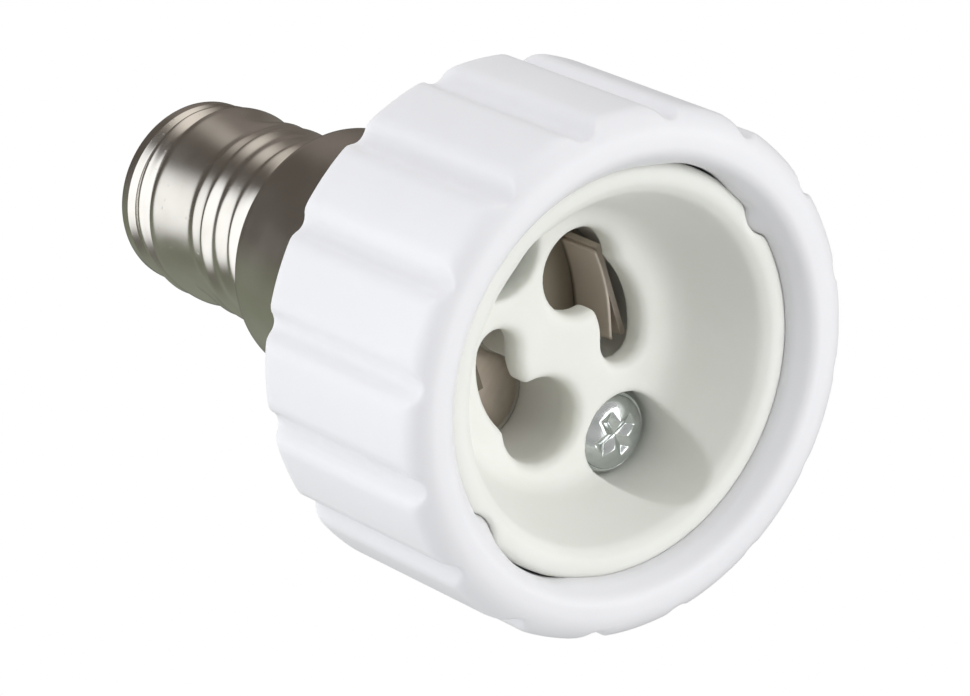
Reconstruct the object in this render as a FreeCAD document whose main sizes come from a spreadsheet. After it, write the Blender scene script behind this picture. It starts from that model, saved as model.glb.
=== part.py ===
import FreeCAD
import Part
import Sketcher
import math
import os
from FreeCAD import Placement, Rotation, Vector

# Lamp socket adapter: a small Edison screw shell at one end and a two-pin bayonet socket at the other.
# Millimetres and degrees. The socket's front ring stands on Z = 0 and the screw shell points up, along +Z.
# Angles are counted about +Z from +X.

# Driving sizes
SIZES = {
    # Outer housing: the fluted ring
    "ring_diameter": 35.0,
    "ring_length": 16.3,
    "ring_wall": 3.4,
    "front_edge_round": 1.8,
    "back_edge_chamfer": 0.35,
    "bore_edge_chamfer": 0.35,
    "flute_count": 16,
    "flute_depth": 0.78,
    "flute_hollow_radius": 0.95,
    "flute_shoulder_radius": 1.3,
    "flute_angle": 2.3,
    # Outer housing: the shoulder, the spigot under the collar and the nose inside the thread
    "shoulder_step": 1.5,
    "shoulder_shelf": 0.95,
    "shoulder_length": 6.1,
    "seat_ledge": 1.8,
    "seat_wall_length": 0.8,
    "spigot_wall": 1.5,
    "spigot_end_wall": 1.6,
    "nose_wall": 1.3,
    "nose_length": 6.0,
    "key_start": 5.0,
    "key_diameter": 2.4,
    "boss_diameter": 6.0,
    "boss_length": 4.0,
    "boss_hole_floor": 0.8,
    # Ceramic insert
    "insert_recess": 1.6,
    "insert_rim_width": 1.85,
    "insert_rim_chamfer": 0.45,
    "cup_depth": 6.1,
    "cup_wall_lean": 2.7,
    "cup_floor_round": 1.7,
    "cup_mouth_chamfer": 0.5,
    "floor_thickness": 2.0,
    "chamber_depth": 4.7,
    "notch_diameter": 4.2,
    "notch_depth": 0.85,
    "notch_angle": 114.0,
    # Bayonet keyholes: centres on a 10 mm circle
    "pin_circle_diameter": 10.0,
    "keyhole_diameter": 5.8,
    "keyhole_slot_width": 3.2,
    "keyhole_sweep_angle": 77.5,
    "keyhole_angle": 79.0,
    "keyhole_chamfer": 0.45,
    # Fixing screws
    "screw_circle_diameter": 17.7,
    "screw_angle": 25.4,
    "screw_diameter": 3.0,
    "screw_head_diameter": 5.5,
    "screw_head_height": 2.0,
    "screw_head_chamfer": 0.6,
    "screw_head_recess": 0.6,
    "cross_length": 3.0,
    "cross_width": 0.8,
    "cross_depth": 1.3,
    "counterbore_diameter": 6.2,
    # Insulating disc behind the insert
    "disc_thickness": 1.2,
    # Contact clips
    "strip_thickness": 0.4,
    "clip_angle": 132.0,
    "leaf_distance": 6.1,
    "leaf_root_distance": 2.9,
    "leaf_width": 6.8,
    "leaf_height": 3.9,
    "tail_distance": 4.2,
    "tail_width": 2.4,
    "tail_length": 4.0,
    # Screw shell: collar, knuckle thread and end bead
    "shell_wall": 0.3,
    "collar_diameter": 17.3,
    "collar_length": 10.4,
    "collar_chamfer": 0.6,
    "thread_crest_diameter": 13.76,
    "thread_root_diameter": 12.3,
    "thread_pitch": 2.822,
    "thread_crest_width": 0.56,
    "thread_flank_width": 1.44,
    "thread_flank_drop": 0.36,
    "thread_foot_width": 2.44,
    "thread_turns": 4.6,
    "thread_start_angle": 152.0,
    "thread_lead_in": 1.5,
    "thread_fade_start": 0.3,
    "thread_fade_length": 4.6,
    "thread_end_fade_length": 2.6,
    "thread_zone_length": 15.2,
    "bead_diameter": 12.9,
    "bead_rise": 0.45,
    "bead_length": 1.6,
    "bead_chamfer": 0.35,
    "shell_mouth_diameter": 10.2,
    # End insulator and centre contact
    "plug_flange_length": 3.0,
    "plug_neck_length": 0.7,
    "plug_cone_length": 1.9,
    "plug_cone_diameter": 6.0,
    "rivet_head_diameter": 4.8,
    "rivet_head_height": 0.8,
    "rivet_head_chamfer": 0.25,
    "rivet_shank_diameter": 2.4,
    "rivet_clinch_diameter": 4.0,
    "rivet_clinch_height": 0.6,
    "tip_solder_diameter": 3.0,
    "tip_solder_height": 0.6,
    "tip_solder_chamfer": 0.4,
    # Leads
    "core_diameter": 0.8,
    "sleeve_diameter": 1.7,
    "lead_lap": 2.2,
    "lead_axis_rise": 2.0,
    "lead_turn_rise": 7.0,
    "lead_wall_rise": 4.2,
    "lead_end_gap": 0.5,
    # Solder dabs
    "dab_length": 1.6,
    "dab_diameter": 1.8,
    "dab_offset": 0.56,
    "dab_drop": 2.6,
    # Clearances, each the gap on one side
    "insert_gap": 0.35,
    "disc_gap": 0.2,
    "screw_clearance": 0.15,
    "chamber_clearance": 0.1,
    "slot_clearance": 0.15,
    "press_clearance": 0.05,
}


class Size:
    """A number kept together with the sheet expression that gives it."""

    def __init__(self, value, text):
        self.value = value
        self.text = text

    def join(self, other, symbol, value):
        return Size(value, "({} {} {})".format(self.text, symbol, other.text))

    def __add__(self, other):
        other = as_size(other)
        return self.join(other, "+", self.value + other.value)

    def __sub__(self, other):
        other = as_size(other)
        return self.join(other, "-", self.value - other.value)

    def __mul__(self, other):
        other = as_size(other)
        return self.join(other, "*", self.value * other.value)

    def __truediv__(self, other):
        other = as_size(other)
        return self.join(other, "/", self.value / other.value)

    def __neg__(self):
        return Size(-self.value, "(-{})".format(self.text))


def as_size(number):
    if isinstance(number, Size):
        return number
    return Size(float(number), repr(float(number)))


class Sheet:
    """The sheet's sizes by name, as Size values."""


doc = FreeCAD.newDocument("socket_adapter")
cells = doc.addObject("Spreadsheet::Sheet", "sizes")
size = Sheet()
for row, (name, value) in enumerate(SIZES.items(), start=1):
    cells.set("A{}".format(row), name)
    cells.set("B{}".format(row), str(value))
    cells.setAlias("B{}".format(row), name)
    setattr(size, name, Size(float(value), "sizes." + name))
doc.recompute()

ZERO = as_size(0.0)

# How far a cut runs past the face that it leaves
PAST = 1.0

sub_parts = []

# Heights up the axis, stacked from the front ring to the centre contact
insert_front = size.insert_recess
cup_floor = insert_front + size.cup_depth
chamber_front = cup_floor + size.floor_thickness
insert_back = chamber_front + size.chamber_depth
seat_level = insert_back + size.disc_thickness
shoulder_top = size.ring_length + size.shoulder_length
collar_top = shoulder_top + size.collar_length
spigot_top = collar_top - size.shell_wall - size.press_clearance
nose_top = spigot_top + size.nose_length
bead_start = collar_top + size.thread_zone_length
shell_end = bead_start + size.bead_length
flange_top = shell_end - size.shell_wall - size.press_clearance
flange_bottom = flange_top - size.plug_flange_length
neck_top = shell_end + size.plug_neck_length
cone_top = neck_top + size.plug_cone_length
rivet_top = cone_top + size.rivet_head_height

# Radii that several pieces share
ring_radius = size.ring_diameter / 2
collar_inside = size.collar_diameter / 2 - size.shell_wall
spigot_radius = collar_inside - size.press_clearance
spigot_bore = spigot_radius - size.spigot_wall
thread_inside = size.thread_root_diameter / 2 - size.shell_wall
nose_radius = thread_inside - size.press_clearance
nose_bore = nose_radius - size.nose_wall
pin_radius = size.pin_circle_diameter / 2
screw_place = size.screw_circle_diameter / 2
screw_hole_radius = size.screw_diameter / 2 + size.screw_clearance
core_radius = size.core_diameter / 2
rivet_bore = core_radius + size.press_clearance
bore_radius = ring_radius - size.ring_wall
insert_radius = bore_radius - size.insert_gap
disc_radius = bore_radius - size.disc_gap
notch_radius = size.notch_diameter / 2
notch_place = insert_radius - size.notch_depth + notch_radius
key_place = insert_radius - size.notch_depth + size.slot_clearance + size.key_diameter / 2
screw_top = cup_floor + size.screw_head_recess
screw_seat = screw_top + size.screw_head_height
lap_start = seat_level + size.lead_lap / 4


# Document helpers
def bind(item, path, amount):
    item.setExpression(path, as_size(amount).text)


def new_body(label, turn=None):
    body = doc.addObject("PartDesign::Body", label)
    body.Label = label
    if turn is not None:
        body.Placement = Placement(Vector(0, 0, 0), Rotation(Vector(0, 0, 1), turn.value))
        bind(body, "Placement.Rotation.Angle", turn)
    sub_parts.append(body)
    return body


def origin_item(body, role):
    for item in body.Origin.OriginFeatures:
        if item.Role == role:
            return item


def new_sketch(body, name, role="XZ_Plane", level=None, turn=None, shift=None):
    """A sketch on one of the body's own planes, moved up by level, turned, or moved along its X."""
    sketch = body.newObject("Sketcher::SketchObject", name)
    sketch.AttachmentSupport = [(origin_item(body, role), "")]
    sketch.MapMode = "FlatFace"
    if turn is not None:
        sketch.AttachmentOffset = Placement(Vector(0, 0, 0), Rotation(Vector(0, 0, 1), turn.value))
        bind(sketch, "AttachmentOffset.Rotation.Angle", turn)
    if level is not None:
        bind(sketch, "AttachmentOffset.Base.z", level)
    if shift is not None:
        bind(sketch, "AttachmentOffset.Base.x", shift)
    return sketch


def bound_rule(sketch, amount, *rule):
    index = sketch.addConstraint(Sketcher.Constraint(*rule, amount.value))
    sketch.setExpression("Constraints[{}]".format(index), amount.text)


def place_point(sketch, piece, end, across, up):
    """Ties one point of a sketch to its two coordinates."""
    if across.value == 0.0:
        sketch.addConstraint(Sketcher.Constraint("PointOnObject", piece, end, -2))
    else:
        bound_rule(sketch, across, "DistanceX", -1, 1, piece, end)
    if up.value == 0.0:
        sketch.addConstraint(Sketcher.Constraint("PointOnObject", piece, end, -1))
    else:
        bound_rule(sketch, up, "DistanceY", -1, 1, piece, end)


def polygon(sketch, corners):
    corners = [(as_size(across), as_size(up)) for across, up in corners]
    points = [Vector(across.value, up.value, 0) for across, up in corners]
    for start, end in zip(points, points[1:] + points[:1]):
        sketch.addGeometry(Part.LineSegment(start, end))
    for i in range(len(points)):
        after = (i + 1) % len(points)
        sketch.addConstraint(Sketcher.Constraint("Coincident", i, 2, after, 1))
    for i, (across, up) in enumerate(corners):
        place_point(sketch, i, 1, across, up)


def rectangle(sketch, left, right, low, high):
    polygon(sketch, [(left, low), (right, low), (right, high), (left, high)])


def circle(sketch, across, up, radius):
    across = as_size(across)
    up = as_size(up)
    disc = Part.Circle(Vector(across.value, up.value, 0), Vector(0, 0, 1), radius.value)
    index = sketch.addGeometry(disc)
    place_point(sketch, index, 3, across, up)
    bound_rule(sketch, radius, "Radius", index)


def curved_slot(sketch, centre_radius, half_width, sweep):
    """A slot bent round the origin: two arcs about the origin, closed by two half circles."""
    turn = math.radians(sweep.value)
    up = Vector(0, 0, 1)
    start = Vector(centre_radius.value, 0, 0)
    stop = Vector(centre_radius.value * math.cos(turn), centre_radius.value * math.sin(turn), 0)
    outer = Part.Circle(Vector(0, 0, 0), up, centre_radius.value + half_width.value)
    inner = Part.Circle(Vector(0, 0, 0), up, centre_radius.value - half_width.value)
    first = Part.Circle(start, up, half_width.value)
    last = Part.Circle(stop, up, half_width.value)
    sketch.addGeometry(Part.ArcOfCircle(outer, 0, turn))
    sketch.addGeometry(Part.ArcOfCircle(last, turn, turn + math.pi))
    sketch.addGeometry(Part.ArcOfCircle(inner, 0, turn))
    sketch.addGeometry(Part.ArcOfCircle(first, -math.pi, 0))
    sketch.addGeometry(Part.LineSegment(Vector(0, 0, 0), stop), True)
    sketch.addConstraint(Sketcher.Constraint("Coincident", 0, 3, -1, 1))
    sketch.addConstraint(Sketcher.Constraint("Coincident", 2, 3, -1, 1))
    sketch.addConstraint(Sketcher.Constraint("Tangent", 0, 2, 1, 1))
    sketch.addConstraint(Sketcher.Constraint("Tangent", 1, 2, 2, 2))
    sketch.addConstraint(Sketcher.Constraint("Tangent", 2, 1, 3, 1))
    sketch.addConstraint(Sketcher.Constraint("Tangent", 3, 2, 0, 1))
    sketch.addConstraint(Sketcher.Constraint("PointOnObject", 3, 3, -1))
    sketch.addConstraint(Sketcher.Constraint("Coincident", 4, 1, -1, 1))
    sketch.addConstraint(Sketcher.Constraint("Coincident", 4, 2, 1, 3))
    bound_rule(sketch, centre_radius + half_width, "Radius", 0)
    bound_rule(sketch, half_width, "Radius", 3)
    index = sketch.addConstraint(Sketcher.Constraint("Angle", -1, 1, 4, 1, turn))
    sketch.setExpression("Constraints[{}]".format(index), sweep.text + " * 1deg")


def revolve(body, sketch, name):
    turned = body.newObject("PartDesign::Revolution", name)
    turned.Profile = sketch
    turned.ReferenceAxis = (sketch, ["V_Axis"])
    turned.Angle = 360
    sketch.Visibility = False
    doc.recompute()
    return turned


def pad(body, sketch, name, length):
    """Adds material above a level sketch."""
    feature = body.newObject("PartDesign::Pad", name)
    feature.Profile = sketch
    bind(feature, "Length", length)
    doc.recompute()
    return feature


def pocket(body, sketch, name, length):
    """Cuts upward from a level sketch, and checks that something was cut."""
    before = body.Shape.Volume
    feature = body.newObject("PartDesign::Pocket", name)
    feature.Profile = sketch
    feature.Reversed = True
    bind(feature, "Length", length)
    doc.recompute()
    if body.Shape.Volume >= before:
        raise RuntimeError("{} cut nothing".format(name))
    return feature


def polar(body, features, name, count):
    """Repeats features evenly round the axis."""
    pattern = body.newObject("PartDesign::PolarPattern", name)
    pattern.Originals = features
    pattern.Axis = (origin_item(body, "Z_Axis"), [""])
    pattern.Angle = 360
    pattern.Occurrences = int(as_size(count).value)
    bind(pattern, "Occurrences", count)
    body.Tip = pattern
    doc.recompute()
    return pattern


def ring_edges(shape, radius, height):
    """Names of the full or part circles of one radius, centred on the axis at one height."""
    found = []
    for number, edge in enumerate(shape.Edges, start=1):
        curve = edge.Curve
        if not isinstance(curve, Part.Circle):
            continue
        on_axis = math.hypot(curve.Center.x, curve.Center.y) < 1e-4
        if on_axis and abs(curve.Radius - radius.value) < 1e-4 and abs(curve.Center.z - height.value) < 1e-4:
            found.append("Edge{}".format(number))
    return found


def ease_rings(body, name, base, kind, amount, rings):
    """Rounds or chamfers circular edges, each given as its radius and height."""
    edges = []
    for ring, height in rings:
        edges += ring_edges(base.Shape, as_size(ring), as_size(height))
    if not edges:
        raise RuntimeError("{} found no edge".format(name))
    return ease_edges(body, name, base, kind, amount, edges)


def ease_edges(body, name, base, kind, amount, edges):
    feature = body.newObject("PartDesign::" + kind, name)
    feature.Base = (base, edges)
    bind(feature, "Radius" if kind == "Fillet" else "Size", amount)
    doc.recompute()
    return feature


# Outer housing: fluted ring, hidden shoulder, spigot and nose in one moulding
def make_housing():
    body = new_body("outer_housing")
    seat_bore = bore_radius - size.seat_ledge
    profile = new_sketch(body, "housing_profile")
    polygon(profile, [
        (bore_radius, ZERO),
        (ring_radius, ZERO),
        (ring_radius, size.ring_length),
        (ring_radius - size.shoulder_step, size.ring_length),
        (size.collar_diameter / 2 + size.shoulder_shelf, shoulder_top),
        (spigot_radius, shoulder_top),
        (spigot_radius, spigot_top),
        (nose_radius, spigot_top),
        (nose_radius, nose_top),
        (nose_bore, nose_top),
        (nose_bore, spigot_top - size.spigot_end_wall),
        (spigot_bore, spigot_top - size.spigot_end_wall),
        (spigot_bore, shoulder_top),
        (seat_bore, seat_level + size.seat_wall_length),
        (seat_bore, seat_level),
        (bore_radius, seat_level),
    ])
    turned = revolve(body, profile, "housing_turned")
    front_edge = [(ring_radius, ZERO)]
    back_edge = [(ring_radius, size.ring_length)]
    front = ease_rings(body, "front_round", turned, "Fillet", size.front_edge_round, front_edge)
    back = ease_rings(body, "back_chamfer", front, "Chamfer", size.back_edge_chamfer, back_edge)
    bored = ease_rings(body, "bore_chamfer", back, "Chamfer", size.bore_edge_chamfer, [(bore_radius, ZERO)])
    ease_rings(body, "spigot_chamfer", bored, "Chamfer", size.collar_chamfer, [(spigot_radius, spigot_top)])

    boss_sketch = new_sketch(body, "boss_outline", "XY_Plane", level=seat_level, turn=size.screw_angle)
    circle(boss_sketch, screw_place, ZERO, size.boss_diameter / 2)
    boss = pad(body, boss_sketch, "boss", size.boss_length)
    polar(body, [boss], "bosses", 2)
    hole_sketch = new_sketch(body, "boss_hole_outline", "XY_Plane", level=seat_level, turn=size.screw_angle)
    circle(hole_sketch, screw_place, ZERO, size.screw_diameter / 2)
    hole = pocket(body, hole_sketch, "boss_hole", size.boss_length - size.boss_hole_floor)
    polar(body, [hole], "boss_holes", 2)

    key_sketch = new_sketch(body, "key_outline", "XY_Plane", level=size.key_start, turn=size.notch_angle)
    circle(key_sketch, key_place, ZERO, size.key_diameter / 2)
    key = pad(body, key_sketch, "key", seat_level - size.key_start)
    polar(body, [key], "keys", 2)

    flute_sketch = new_sketch(body, "flute_outline", "XY_Plane", turn=size.flute_angle)
    flute_outline(flute_sketch)
    flute = pocket(body, flute_sketch, "flute", size.ring_length + PAST)
    polar(body, [flute], "flutes", size.flute_count)


def flute_outline(sketch):
    """A soft hollow whose two shoulders run tangent into the ring's own circle."""
    hollow = size.flute_hollow_radius
    shoulder = size.flute_shoulder_radius
    hollow_place = ring_radius - size.flute_depth + hollow
    reach = hollow.value + shoulder.value
    far = hollow_place.value
    near = ring_radius.value - shoulder.value
    lean = math.acos((far ** 2 + near ** 2 - reach ** 2) / (2 * far * near))
    up = Vector(0, 0, 1)
    left = Vector(near * math.cos(lean), near * math.sin(lean), 0)
    right = Vector(left.x, -left.y, 0)
    middle = Vector(far, 0, 0)
    inward = math.atan2(left.y - middle.y, left.x - middle.x)
    outside = ring_radius + PAST
    left_foot = Vector(ring_radius.value * math.cos(lean), ring_radius.value * math.sin(lean), 0)
    right_foot = Vector(left_foot.x, -left_foot.y, 0)
    left_top = Vector(outside.value, left_foot.y, 0)
    right_top = Vector(outside.value, right_foot.y, 0)
    sketch.addGeometry(Part.ArcOfCircle(Part.Circle(middle, up, hollow.value), inward, 2 * math.pi - inward))
    sketch.addGeometry(Part.ArcOfCircle(Part.Circle(left, up, shoulder.value), inward - math.pi, lean))
    sketch.addGeometry(Part.ArcOfCircle(Part.Circle(right, up, shoulder.value), -lean, math.pi - inward))
    sketch.addGeometry(Part.LineSegment(left_foot, left_top))
    sketch.addGeometry(Part.LineSegment(left_top, right_top))
    sketch.addGeometry(Part.LineSegment(right_top, right_foot))
    sketch.addGeometry(Part.Circle(Vector(0, 0, 0), up, ring_radius.value), True)
    sketch.addConstraint(Sketcher.Constraint("Tangent", 0, 1, 1, 1))
    sketch.addConstraint(Sketcher.Constraint("Tangent", 0, 2, 2, 2))
    sketch.addConstraint(Sketcher.Constraint("Tangent", 1, 2, 6))
    sketch.addConstraint(Sketcher.Constraint("Tangent", 2, 1, 6))
    sketch.addConstraint(Sketcher.Constraint("Coincident", 6, 3, -1, 1))
    sketch.addConstraint(Sketcher.Constraint("PointOnObject", 0, 3, -1))
    sketch.addConstraint(Sketcher.Constraint("Coincident", 1, 2, 3, 1))
    sketch.addConstraint(Sketcher.Constraint("Coincident", 3, 2, 4, 1))
    sketch.addConstraint(Sketcher.Constraint("Coincident", 4, 2, 5, 1))
    sketch.addConstraint(Sketcher.Constraint("Coincident", 5, 2, 2, 1))
    sketch.addConstraint(Sketcher.Constraint("Horizontal", 3))
    sketch.addConstraint(Sketcher.Constraint("Vertical", 4))
    sketch.addConstraint(Sketcher.Constraint("Horizontal", 5))
    bound_rule(sketch, hollow_place, "DistanceX", -1, 1, 0, 3)
    bound_rule(sketch, hollow, "Radius", 0)
    bound_rule(sketch, shoulder, "Radius", 1)
    bound_rule(sketch, shoulder, "Radius", 2)
    bound_rule(sketch, ring_radius, "Radius", 6)
    bound_rule(sketch, outside, "DistanceX", -1, 1, 3, 2)


# Ceramic insert: a cup whose floor carries the two keyholes, with a chamber behind each
def make_insert():
    body = new_body("ceramic_insert")
    mouth = insert_radius - size.insert_rim_width
    floor = mouth - size.cup_wall_lean
    profile = new_sketch(body, "insert_profile")
    polygon(profile, [
        (ZERO, cup_floor),
        (floor, cup_floor),
        (mouth, insert_front),
        (insert_radius, insert_front),
        (insert_radius, insert_back),
        (ZERO, insert_back),
    ])
    turned = revolve(body, profile, "insert_turned")
    rim_edge = [(insert_radius, insert_front)]
    rim = ease_rings(body, "rim_chamfer", turned, "Chamfer", size.insert_rim_chamfer, rim_edge)
    lip = ease_rings(body, "mouth_chamfer", rim, "Chamfer", size.cup_mouth_chamfer, [(mouth, insert_front)])
    ease_rings(body, "floor_round", lip, "Fillet", size.cup_floor_round, [(floor, cup_floor)])

    notch_sketch = new_sketch(body, "notch_outline", "XY_Plane", level=insert_front, turn=size.notch_angle)
    circle(notch_sketch, notch_place, ZERO, notch_radius)
    notch = pocket(body, notch_sketch, "notch", insert_back - insert_front + PAST)
    polar(body, [notch], "notches", 2)

    wall = size.keyhole_diameter / 2 + size.chamber_clearance
    chamber_sketch = new_sketch(body, "chamber_outline", "XY_Plane", level=chamber_front, turn=size.keyhole_angle)
    curved_slot(chamber_sketch, pin_radius, wall, size.keyhole_sweep_angle)
    chamber = pocket(body, chamber_sketch, "chamber", size.chamber_depth + PAST)
    polar(body, [chamber], "chambers", 2)
    slot_sketch = new_sketch(body, "slot_outline", "XY_Plane", level=cup_floor - PAST, turn=size.keyhole_angle)
    curved_slot(slot_sketch, pin_radius, size.keyhole_slot_width / 2, size.keyhole_sweep_angle)
    slot = pocket(body, slot_sketch, "slot", size.floor_thickness + 2 * PAST)
    polar(body, [slot], "slots", 2)
    head_sketch = new_sketch(body, "keyhole_outline", "XY_Plane", level=cup_floor - PAST, turn=size.keyhole_angle)
    circle(head_sketch, pin_radius, ZERO, size.keyhole_diameter / 2)
    head = pocket(body, head_sketch, "keyhole", size.floor_thickness + 2 * PAST)
    keyholes = polar(body, [head], "keyholes", 2)

    edges = []
    for number, edge in enumerate(keyholes.Shape.Edges, start=1):
        box = edge.BoundBox
        level = abs(box.ZMin - cup_floor.value) < 1e-4 and abs(box.ZMax - cup_floor.value) < 1e-4
        reach = math.hypot(edge.CenterOfMass.x, edge.CenterOfMass.y)
        if level and reach < floor.value - size.cup_floor_round.value:
            edges.append("Edge{}".format(number))
    ease_edges(body, "keyhole_chamfer", keyholes, "Chamfer", size.keyhole_chamfer, edges)

    bore_sketch = new_sketch(body, "counterbore_outline", "XY_Plane", level=insert_front, turn=size.screw_angle)
    circle(bore_sketch, screw_place, ZERO, size.counterbore_diameter / 2)
    bore = pocket(body, bore_sketch, "counterbore", screw_seat - insert_front)
    polar(body, [bore], "counterbores", 2)
    hole_sketch = new_sketch(body, "screw_hole_outline", "XY_Plane", level=insert_front, turn=size.screw_angle)
    circle(hole_sketch, screw_place, ZERO, screw_hole_radius)
    hole = pocket(body, hole_sketch, "screw_hole", insert_back - insert_front + PAST)
    polar(body, [hole], "screw_holes", 2)


# Insulating disc that closes the chambers from behind
def make_disc():
    body = new_body("rear_disc")
    outline = new_sketch(body, "disc_outline", "XY_Plane", level=insert_back)
    circle(outline, ZERO, ZERO, disc_radius)
    pad(body, outline, "disc", size.disc_thickness)
    notch_sketch = new_sketch(body, "disc_notch_outline", "XY_Plane", level=insert_back, turn=size.notch_angle)
    circle(notch_sketch, notch_place, ZERO, notch_radius)
    notch = pocket(body, notch_sketch, "disc_notch", size.disc_thickness + PAST)
    polar(body, [notch], "disc_notches", 2)
    hole_sketch = new_sketch(body, "disc_hole_outline", "XY_Plane", level=insert_back, turn=size.screw_angle)
    circle(hole_sketch, screw_place, ZERO, screw_hole_radius)
    hole = pocket(body, hole_sketch, "disc_hole", size.disc_thickness + PAST)
    polar(body, [hole], "disc_holes", 2)
    slot_sketch = new_sketch(body, "tail_slot_outline", "XY_Plane", level=insert_back, turn=size.clip_angle)
    gap = size.slot_clearance
    low = size.tail_distance - gap
    high = size.tail_distance + size.strip_thickness + gap
    rectangle(slot_sketch, low, high, -size.tail_width / 2 - gap, size.tail_width / 2 + gap)
    slot = pocket(body, slot_sketch, "tail_slot", size.disc_thickness + PAST)
    polar(body, [slot], "tail_slots", 2)


# Fixing screws: two pan heads with a cross recess
def make_screw(label, turn):
    body = doc.addObject("PartDesign::Body", label)
    body.Placement = Placement(Vector(0, 0, 0), Rotation(Vector(0, 0, 1), turn.value))
    bind(body, "Placement.Base.x", Size(0.0, "{} * cos({} * 1deg)".format(screw_place.text, turn.text)))
    bind(body, "Placement.Base.y", Size(0.0, "{} * sin({} * 1deg)".format(screw_place.text, turn.text)))
    bind(body, "Placement.Rotation.Angle", turn)
    head = size.screw_head_diameter / 2
    shank = size.screw_diameter / 2 - size.press_clearance
    tip = seat_level + size.boss_length - size.boss_hole_floor - size.screw_clearance
    profile = new_sketch(body, label + "_profile")
    polygon(profile, [
        (ZERO, screw_top),
        (head, screw_top),
        (head, screw_seat),
        (shank, screw_seat),
        (shank, tip - size.screw_diameter / 4),
        (shank / 2, tip),
        (ZERO, tip),
    ])
    turned = revolve(body, profile, label + "_turned")
    ease_rings(body, label + "_chamfer", turned, "Chamfer", size.screw_head_chamfer, [(head, screw_top)])
    arm = size.cross_length / 2
    half = size.cross_width / 2
    cross = new_sketch(body, label + "_cross", "XY_Plane", level=screw_top)
    polygon(cross, [
        (arm, -half), (arm, half), (half, half), (half, arm),
        (-half, arm), (-half, half), (-arm, half), (-arm, -half),
        (-half, -half), (-half, -arm), (half, -arm), (half, -half),
    ])
    pocket(body, cross, label + "_recess", size.cross_depth)
    return body


# Contact clips: a base leaf on the disc, a riser along the chamber's outer side, a tail through the disc
def make_contact(label, turn):
    body = new_body(label, turn)
    inner = size.leaf_distance
    outer = inner + size.strip_thickness
    low = insert_back - size.strip_thickness
    bend = size.strip_thickness
    profile = new_sketch(body, label + "_profile")
    polygon(profile, [
        (size.leaf_root_distance, insert_back),
        (size.leaf_root_distance, low),
        (inner, low),
        (inner, insert_back - size.leaf_height),
        (outer, insert_back - size.leaf_height),
        (outer, insert_back),
    ])
    leaf = body.newObject("PartDesign::Pad", label + "_leaf")
    leaf.Profile = profile
    leaf.Midplane = True
    bind(leaf, "Length", size.leaf_width)
    doc.recompute()
    for name, across, height, radius in (("_outer_bend", outer, insert_back, bend * 2), ("_inner_bend", inner, low, bend)):
        edges = []
        for number, edge in enumerate(leaf.Shape.Edges, start=1):
            centre = edge.CenterOfMass
            if abs(centre.x - across.value) < 1e-4 and abs(centre.z - height.value) < 1e-4 and abs(centre.y) < 1e-4:
                edges.append("Edge{}".format(number))
        leaf = ease_edges(body, label + name, leaf, "Fillet", radius, edges)
    tail_sketch = new_sketch(body, label + "_tail_outline", "XY_Plane", level=low)
    far = size.tail_distance + size.strip_thickness
    rectangle(tail_sketch, size.tail_distance, far, -size.tail_width / 2, size.tail_width / 2)
    pad(body, tail_sketch, label + "_tail", size.tail_length + size.strip_thickness)


# Screw shell: collar, rolled knuckle thread and turned-in end
def make_shell():
    body = new_body("screw_shell", size.thread_start_angle)
    outside = size.collar_diameter / 2
    root = size.thread_root_diameter / 2
    bead = size.bead_diameter / 2
    mouth = size.shell_mouth_diameter / 2
    profile = new_sketch(body, "shell_profile")
    polygon(profile, [
        (outside, shoulder_top),
        (outside, collar_top),
        (root, collar_top),
        (root, bead_start),
        (bead, bead_start + size.bead_rise),
        (bead, shell_end),
        (mouth, shell_end),
        (mouth, shell_end - size.shell_wall),
        (thread_inside, shell_end - size.shell_wall),
        (thread_inside, collar_top - size.shell_wall),
        (collar_inside, collar_top - size.shell_wall),
        (collar_inside, shoulder_top),
    ])
    turned = revolve(body, profile, "shell_turned")
    inner_edge = [(collar_inside, collar_top - size.shell_wall)]
    outer = ease_rings(body, "collar_outer_chamfer", turned, "Chamfer", size.collar_chamfer, [(outside, collar_top)])
    inner = ease_rings(body, "collar_inner_chamfer", outer, "Chamfer", size.collar_chamfer - size.shell_wall / 2, inner_edge)
    ease_rings(body, "bead_end_chamfer", inner, "Chamfer", size.bead_chamfer, [(bead, shell_end)])

    ridge_sketch = new_sketch(body, "ridge_profile")
    ridge_outline(ridge_sketch)
    ridge = body.newObject("PartDesign::AdditiveHelix", "thread_ridge")
    ridge.Profile = ridge_sketch
    ridge.ReferenceAxis = (ridge_sketch, ["V_Axis"])
    ridge.Mode = 1
    bind(ridge, "Pitch", size.thread_pitch)
    bind(ridge, "Turns", size.thread_turns)
    doc.recompute()

    fade_sketch = new_sketch(body, "fade_profile")
    reach = size.thread_crest_diameter / 2 + PAST
    first = collar_top + size.thread_fade_start
    polygon(fade_sketch, [
        (root, first),
        (reach, first),
        (reach, first + size.thread_fade_length),
    ])
    fade = body.newObject("PartDesign::Groove", "thread_fade")
    fade.Profile = fade_sketch
    fade.ReferenceAxis = (fade_sketch, ["V_Axis"])
    fade.Angle = 360
    doc.recompute()
    last_sketch = new_sketch(body, "last_fade_profile")
    polygon(last_sketch, [
        (root, bead_start),
        (reach, bead_start),
        (reach, bead_start - size.thread_end_fade_length),
    ])
    last = body.newObject("PartDesign::Groove", "last_thread_fade")
    last.Profile = last_sketch
    last.ReferenceAxis = (last_sketch, ["V_Axis"])
    last.Angle = 360
    doc.recompute()


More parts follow.
